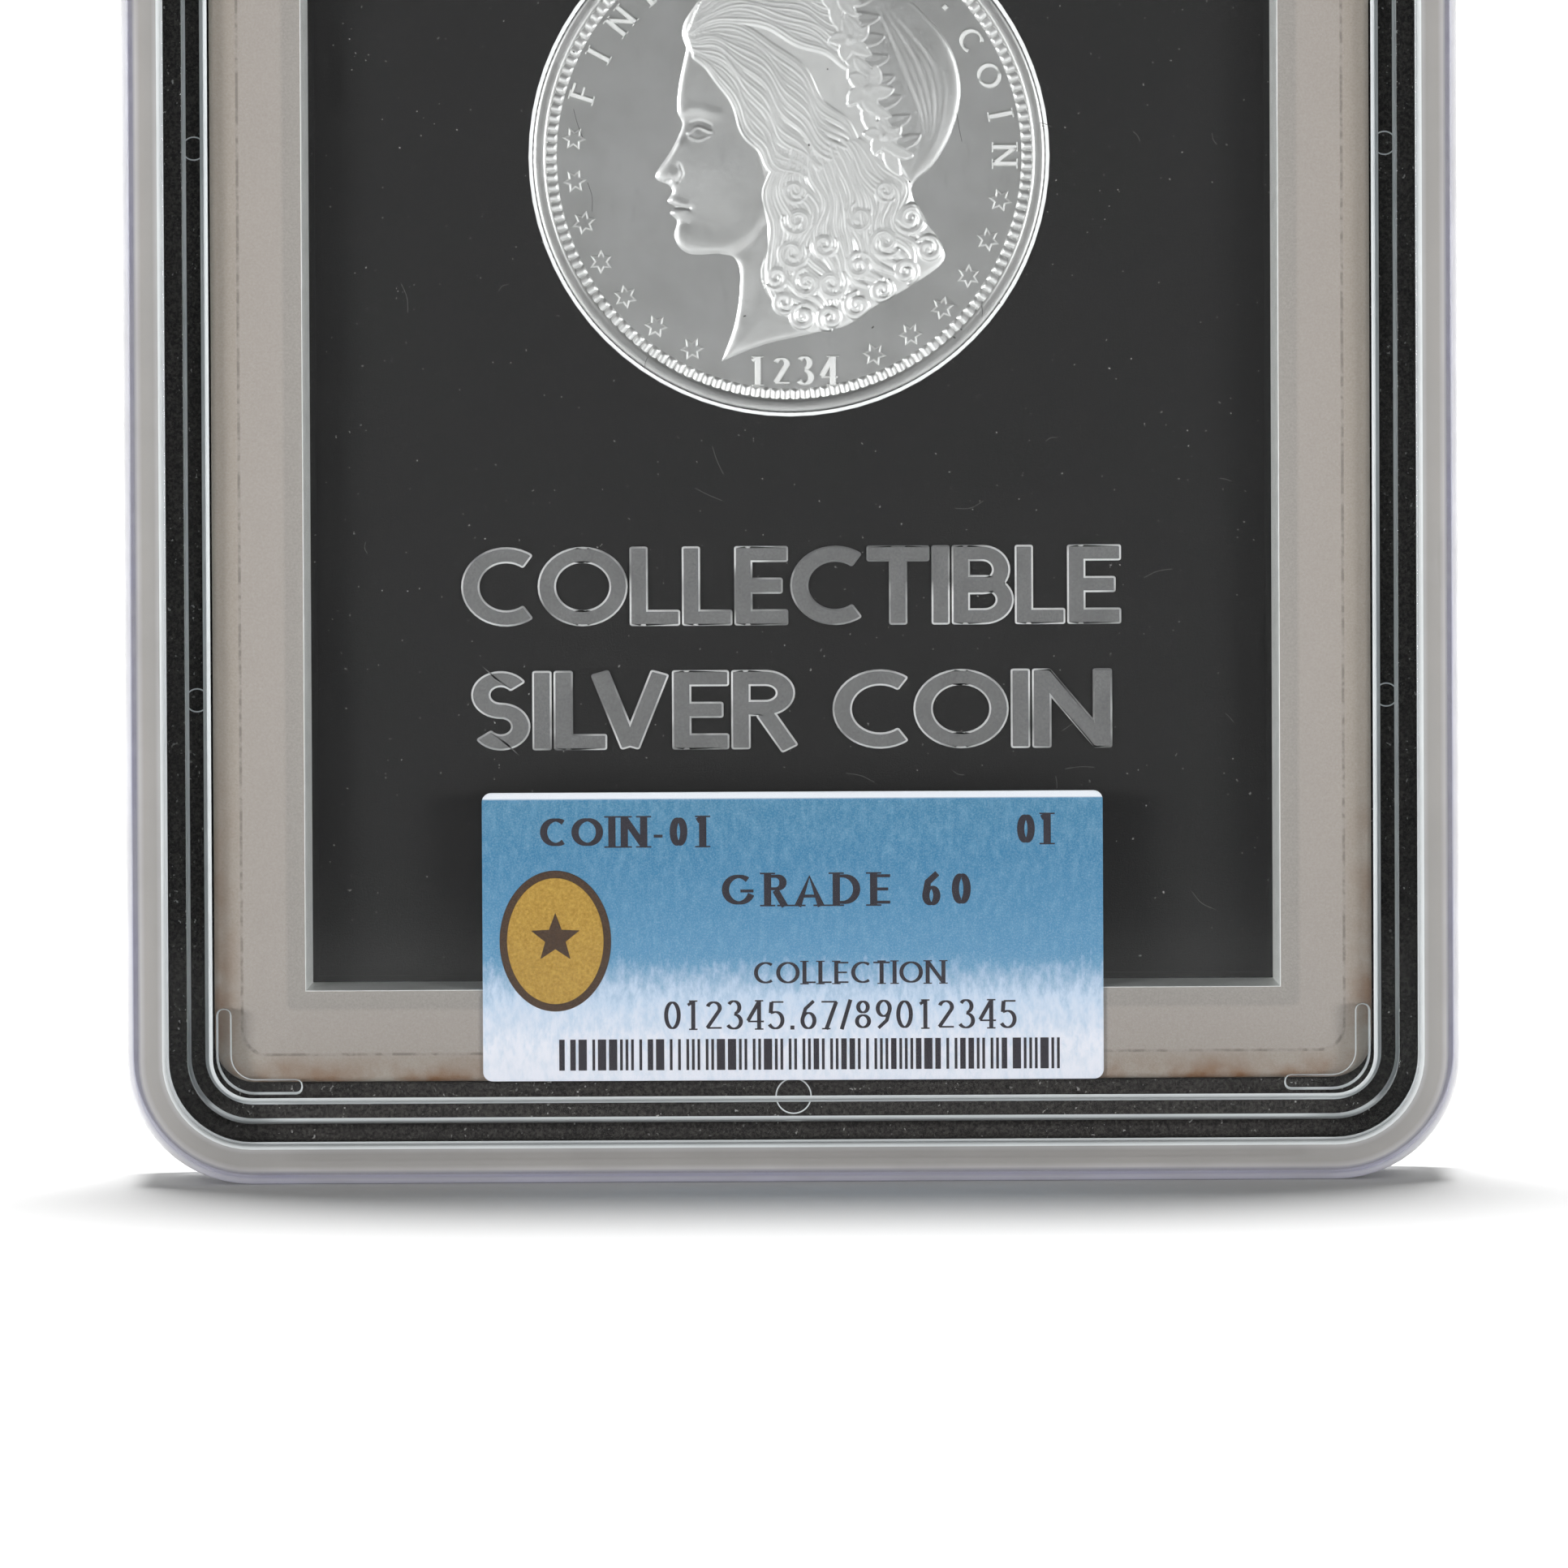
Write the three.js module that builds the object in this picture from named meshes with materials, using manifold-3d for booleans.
// A graded coin slab: a clear welded case, a foam gasket that grips a clear two-part coin holder,
// and in the holder a black insert whose round hole holds the coin. A label lies on the holder.
// Millimetres. The slab stands on its bottom edge: +Z is up and the front faces -Y.
//
// Every piece is drawn in the slab's own frame: X to the right, Y up the face, Z out of the face,
// with the origin at the slab's centre. The assembly group then stands it up.
import * as THREE from "three";
import { mergeVertices } from "three/addons/utils/BufferGeometryUtils.js";
import Module from "manifold-3d";

const wasm = await Module();
wasm.setup();

// ---- Driving dimensions ----
const CASE = { width: 98.6, height: 145, depth: 16, corner: 9.2 };
const HOLDER = { width: 85.8, height: 130.2, depth: 9.5, corner: 3 };
const COIN = { diameter: 38.1, thickness: 2.4, raised: 3.3 }; // raised above the slab's centre
const LABEL = { width: 46, height: 21.4, corner: 0.7, thickness: 0.2 };
const GAP = 0.3; // between two pieces that meet
const LABEL_GAP = 0.1; // paper-thin pieces lie closer than the rest

// Case: its wall, window and the rib that stands behind the window.
const CASE_WALL = 2.8;
const CASE_EDGE_RADIUS = 0.8;
const CASE_LIP = 0.7; // how far the rim stands proud of the window
const CASE_WINDOW = 1.7;
const RIB_OUTER = 4.4; // insets from the case's outline
const RIB_INNER = 6;

// Weld seam between the halves: bars on the rear half lie in grooves in the front half.
const SEAM_GAP = GAP / 2; // each half stops this far from the centre plane
const WELD_INSET = 1.85;
const WELD_BAR = { width: 0.5, height: 0.9 };
const WELD_CLEARANCE = GAP;
const WELD_END = 12.2; // from each corner of the case to the end of a bar

// Corner pads: an L on each corner of the window's inner face, which stops the holder rattling.
const PAD = { leg: 6.4, width: 1.15, outerRadius: 2.9, endRadius: 0.5, inset: 6.55 };

// Holder: a hollow frosted border round a thick window.
const HOLDER_EDGE_RADIUS = 0.5;
const HOLDER_WALL = 1.9;
const HOLDER_SKIN = 1.6;
const SEAT_RIB = 5.4; // inset of the rib round the insert's seat
const SEAT = 7.25; // inset of the seat
const SEAT_DEPTH = 1.5;

const INSERT_THICKNESS = 2.4;
const COIN_CLEARANCE = GAP; // radial, so that the coin is loose enough to turn

const GASKET_THICKNESS = 5;

const SEAL = { halfWidth: 4.15, halfHeight: 5.25, thickness: 0.1, x: -17.6, y: -54.7 };

// ---- Derived places ----
const caseFront = CASE.depth / 2;
const windowOuter = caseFront - CASE_LIP;
const windowInner = windowOuter - CASE_WINDOW;
const holderFront = HOLDER.depth / 2;
const labelBack = holderFront + LABEL_GAP;
const labelFront = labelBack + LABEL.thickness;
const sealBack = labelFront + LABEL_GAP;
const ribTip = GASKET_THICKNESS / 2 + GAP;

// ---- Facets ----
const CORNER_STEPS = 5; // a round corner takes twice this many steps
const EDGE_STEPS = 3;
const PAD_STEPS = 3;
const LABEL_STEPS = 2;
const SEAL_STEPS = 16;
const ROUND_STEPS = 36; // a full circle takes twice this many steps
const SMALLEST_CORNER = 0.4;
const OVERSHOOT = 1; // how far a cutter runs past what it cuts

// ---- Helpers ----

// A closed geometry as a manifold-3d solid.
function solidFrom(geometry) {
  const bare = geometry.clone();
  bare.deleteAttribute("normal");
  bare.deleteAttribute("uv");
  const merged = mergeVertices(bare, 1e-4);
  return new wasm.Manifold(
    new wasm.Mesh({
      numProp: 3,
      vertProperties: merged.attributes.position.array,
      triVerts: new Uint32Array(merged.index.array),
    }),
  );
}

// A manifold-3d solid as a geometry.
function geometryFrom(solid) {
  const mesh = solid.getMesh();
  const geometry = new THREE.BufferGeometry();
  geometry.setAttribute("position", new THREE.BufferAttribute(mesh.vertProperties, mesh.numProp));
  geometry.setIndex(new THREE.BufferAttribute(mesh.triVerts, 1));
  geometry.computeVertexNormals();
  return geometry;
}

// A rounded rectangle about the origin, set in from an outline on every side.
function outline({ width, height, corner }, inset = 0) {
  const radius = Math.max(corner - inset, SMALLEST_CORNER);
  const x = width / 2 - inset - radius;
  const y = height / 2 - inset - radius;
  const quarter = Math.PI / 2;
  const shape = new THREE.Shape();
  shape.absarc(x, y, radius, 0, quarter);
  shape.absarc(-x, y, radius, quarter, 2 * quarter);
  shape.absarc(-x, -y, radius, 2 * quarter, 3 * quarter);
  shape.absarc(x, -y, radius, 3 * quarter, 4 * quarter);
  shape.closePath();
  return shape;
}

// The same with square corners.
function squareOutline({ width, height }, inset) {
  const x = width / 2 - inset;
  const y = height / 2 - inset;
  return new THREE.Shape([[-x, -y], [x, -y], [x, y], [-x, y]].map((corner) => new THREE.Vector2(...corner)));
}

// An outline with another cut out of it.
function ring(outer, inner) {
  outer.holes.push(inner);
  return outer;
}

// A shape extruded between two depths.
function prism(shape, back, front, steps = CORNER_STEPS) {
  const geometry = new THREE.ExtrudeGeometry(shape, {
    depth: front - back,
    bevelEnabled: false,
    curveSegments: steps,
  });
  return geometry.translate(0, 0, back);
}

// The same, with both rims rounded.
function roundedPrism(shape, back, front, radius) {
  const geometry = new THREE.ExtrudeGeometry(shape, {
    depth: front - back - 2 * radius,
    bevelThickness: radius,
    bevelSize: radius,
    bevelOffset: -radius,
    bevelSegments: EDGE_STEPS,
    curveSegments: CORNER_STEPS,
  });
  return geometry.translate(0, 0, back + radius);
}

// The half of a closed tray in front of the seam, solid, with its front rim rounded.
function frontHalf(size, radius) {
  const front = size.depth / 2;
  const whole = solidFrom(roundedPrism(outline(size), -front, front, radius));
  const rear = new THREE.BoxGeometry(2 * size.width, 2 * size.height, size.depth);
  rear.translate(0, 0, SEAM_GAP - size.depth / 2);
  return whole.subtract(solidFrom(rear));
}

// ---- Case ----

// One L-shaped pad in the lower left corner of the window, legs pointing up and right.
function padShape() {
  const { leg, width, outerRadius, endRadius } = PAD;
  const innerRadius = outerRadius - width;
  const quarter = Math.PI / 2;
  const shape = new THREE.Shape();
  shape.absarc(outerRadius, outerRadius, outerRadius, 2 * quarter, 3 * quarter);
  shape.absarc(leg - endRadius, endRadius, endRadius, 3 * quarter, 4 * quarter);
  shape.absarc(leg - endRadius, width - endRadius, endRadius, 0, quarter);
  shape.absarc(outerRadius, outerRadius, innerRadius, 3 * quarter, 2 * quarter, true);
  shape.absarc(width - endRadius, leg - endRadius, endRadius, 0, quarter);
  shape.absarc(endRadius, leg - endRadius, endRadius, quarter, 2 * quarter);
  shape.closePath();
  return shape;
}

// The four pads on a window's inner face. The legs are equal, so a quarter turn makes the next.
function cornerPads() {
  const x = CASE.width / 2 - PAD.inset;
  const y = CASE.height / 2 - PAD.inset;
  const corners = [[-x, -y], [x, -y], [x, y], [-x, y]];
  return corners.map(([cx, cy], index) => {
    const pad = prism(padShape(), holderFront + GAP, windowInner + OVERSHOOT / 2, PAD_STEPS);
    pad.rotateZ((index * Math.PI) / 2);
    return solidFrom(pad.translate(cx, cy, 0));
  });
}

// The bars along the four straight walls, or, with a clearance, the grooves that take them.
function weldBars(clearance = 0) {
  const width = WELD_BAR.width + 2 * clearance;
  const height = WELD_BAR.height + clearance;
  const reach = { x: CASE.width / 2 - WELD_INSET, y: CASE.height / 2 - WELD_INSET };
  const length = { x: CASE.width - 2 * WELD_END, y: CASE.height - 2 * WELD_END };
  return [-1, 1].flatMap((side) => {
    const upright = new THREE.BoxGeometry(width, length.y + 2 * clearance, 2 * height);
    const level = new THREE.BoxGeometry(length.x + 2 * clearance, width, 2 * height);
    return [
      solidFrom(upright.translate(side * reach.x, 0, 0)),
      solidFrom(level.translate(0, side * reach.y, 0)),
    ];
  });
}

// A half of the case, facing +Z: rim, window, wall, rib and pads.
function caseHalf() {
  const inside = () => outline(CASE, CASE_WALL);
  const rib = ring(outline(CASE, RIB_OUTER), outline(CASE, RIB_INNER));
  const parts = [
    solidFrom(prism(rib, ribTip, windowInner + OVERSHOOT / 2)),
    ...cornerPads(),
  ];
  const tray = frontHalf(CASE, CASE_EDGE_RADIUS)
    .subtract(solidFrom(prism(inside(), windowOuter, caseFront + OVERSHOOT)))
    .subtract(solidFrom(prism(inside(), -OVERSHOOT, windowInner)));
  return parts.reduce((whole, part) => whole.add(part), tray);
}

// The front half has grooves along its weld face.
function caseFrontShell() {
  const grooves = weldBars(WELD_CLEARANCE);
  return geometryFrom(grooves.reduce((whole, groove) => whole.subtract(groove), caseHalf()));
}

// The rear half, facing +Z until it is turned round, has the bars.
function caseRearShell() {
  return geometryFrom(weldBars().reduce((whole, bar) => whole.add(bar), caseHalf()));
}

// A foam frame between the ribs, cut to grip the holder's edge.
function foamGasket() {
  const shape = ring(outline(CASE, CASE_WALL + GAP), outline(HOLDER, -GAP));
  return prism(shape, -GASKET_THICKNESS / 2, GASKET_THICKNESS / 2);
}

// ---- Holder ----

// A half of the holder, facing +Z: the border's hollow and the seat are open at the seam.
function holderShell() {
  const hollow = ring(outline(HOLDER, HOLDER_WALL), outline(HOLDER, SEAT_RIB));
  const seat = squareOutline(HOLDER, SEAT);
  return geometryFrom(
    frontHalf(HOLDER, HOLDER_EDGE_RADIUS)
      .subtract(solidFrom(prism(hollow, -OVERSHOOT, holderFront - HOLDER_SKIN)))
      .subtract(solidFrom(prism(seat, -OVERSHOOT, SEAT_DEPTH))),
  );
}

// The black plate that fills the seat, with the coin's round hole.
function coinInsert() {
  const hole = new THREE.Path();
  hole.absarc(0, COIN.raised, COIN.diameter / 2 + COIN_CLEARANCE, 0, 2 * Math.PI);
  const shape = ring(squareOutline(HOLDER, SEAT + GAP), hole);
  return prism(shape, -INSERT_THICKNESS / 2, INSERT_THICKNESS / 2, ROUND_STEPS);
}

// The coin: raised rims round flat fields, and an edge with its corners broken.
function coin() {
  const radius = COIN.diameter / 2;
  const half = COIN.thickness / 2;
  const rimWidth = 1.3;
  const rimHeight = 0.3;
  const slope = 0.3;
  const chamfer = 0.2;
  const obverse = [
    [0, half - rimHeight],
    [radius - rimWidth - slope, half - rimHeight],
    [radius - rimWidth, half],
    [radius - chamfer, half],
    [radius, half - chamfer],
  ];
  const reverse = obverse.map(([x, y]) => [x, -y]);
  const profile = [...reverse, ...obverse.toReversed()].map((point) => new THREE.Vector2(...point));
  const geometry = new THREE.LatheGeometry(profile, 2 * ROUND_STEPS);
  return geometry.rotateX(Math.PI / 2).translate(0, COIN.raised, 0);
}

// ---- Label ----

function labelCard() {
  const y = (LABEL.height - HOLDER.height) / 2; // its lower edge is flush with the holder's
  return prism(outline(LABEL), labelBack, labelFront, LABEL_STEPS).translate(0, y, 0);
}

// A plain oval foil seal on the label.
function labelSeal() {
  const shape = new THREE.Shape();
  shape.absellipse(SEAL.x, SEAL.y, SEAL.halfWidth, SEAL.halfHeight, 0, 2 * Math.PI);
  return prism(shape, sealBack, sealBack + SEAL.thickness, SEAL_STEPS);
}

// ---- Materials ----

function material(color, roughness, metalness = 0, opacity = 1) {
  return new THREE.MeshStandardMaterial({
    color,
    roughness,
    metalness,
    opacity,
    transparent: opacity < 1,
  });
}

const clearCase = material(0xeef1f4, 0.08, 0, 0.25);
const clearHolder = material(0xb5ada4, 0.4, 0, 0.5);
const blackFoam = material(0x1c1b1b, 0.95);
const blackInsert = material(0x222224, 0.6);
const silver = material(0xc8c8c8, 0.35, 1);
const blueLabel = material(0x74a9cc, 0.7);
const goldFoil = material(0xc79a3a, 0.35, 1);

// ---- Assembly ----

function piece(name, geometry, surface) {
  const mesh = new THREE.Mesh(geometry, surface);
  mesh.name = name;
  return mesh;
}

// A half turn about the upright axis faces a shell to the rear.
function facingRear(...meshes) {
  const group = new THREE.Group();
  group.rotation.y = Math.PI;
  group.add(...meshes);
  return group;
}

const assembly = new THREE.Group();
assembly.rotation.x = Math.PI / 2;
assembly.position.z = CASE.height / 2;
assembly.add(
  piece("case_front_shell", caseFrontShell(), clearCase),
  piece("foam_gasket", foamGasket(), blackFoam),
  piece("holder_front_shell", holderShell(), clearHolder),
  piece("coin_insert", coinInsert(), blackInsert),
  piece("coin", coin(), silver),
  piece("grade_label", labelCard(), blueLabel),
  piece("label_seal", labelSeal(), goldFoil),
  facingRear(
    piece("case_rear_shell", caseRearShell(), clearCase),
    piece("holder_rear_shell", holderShell(), clearHolder),
  ),
);

const slab = new THREE.Group();
slab.add(assembly);

export default slab;
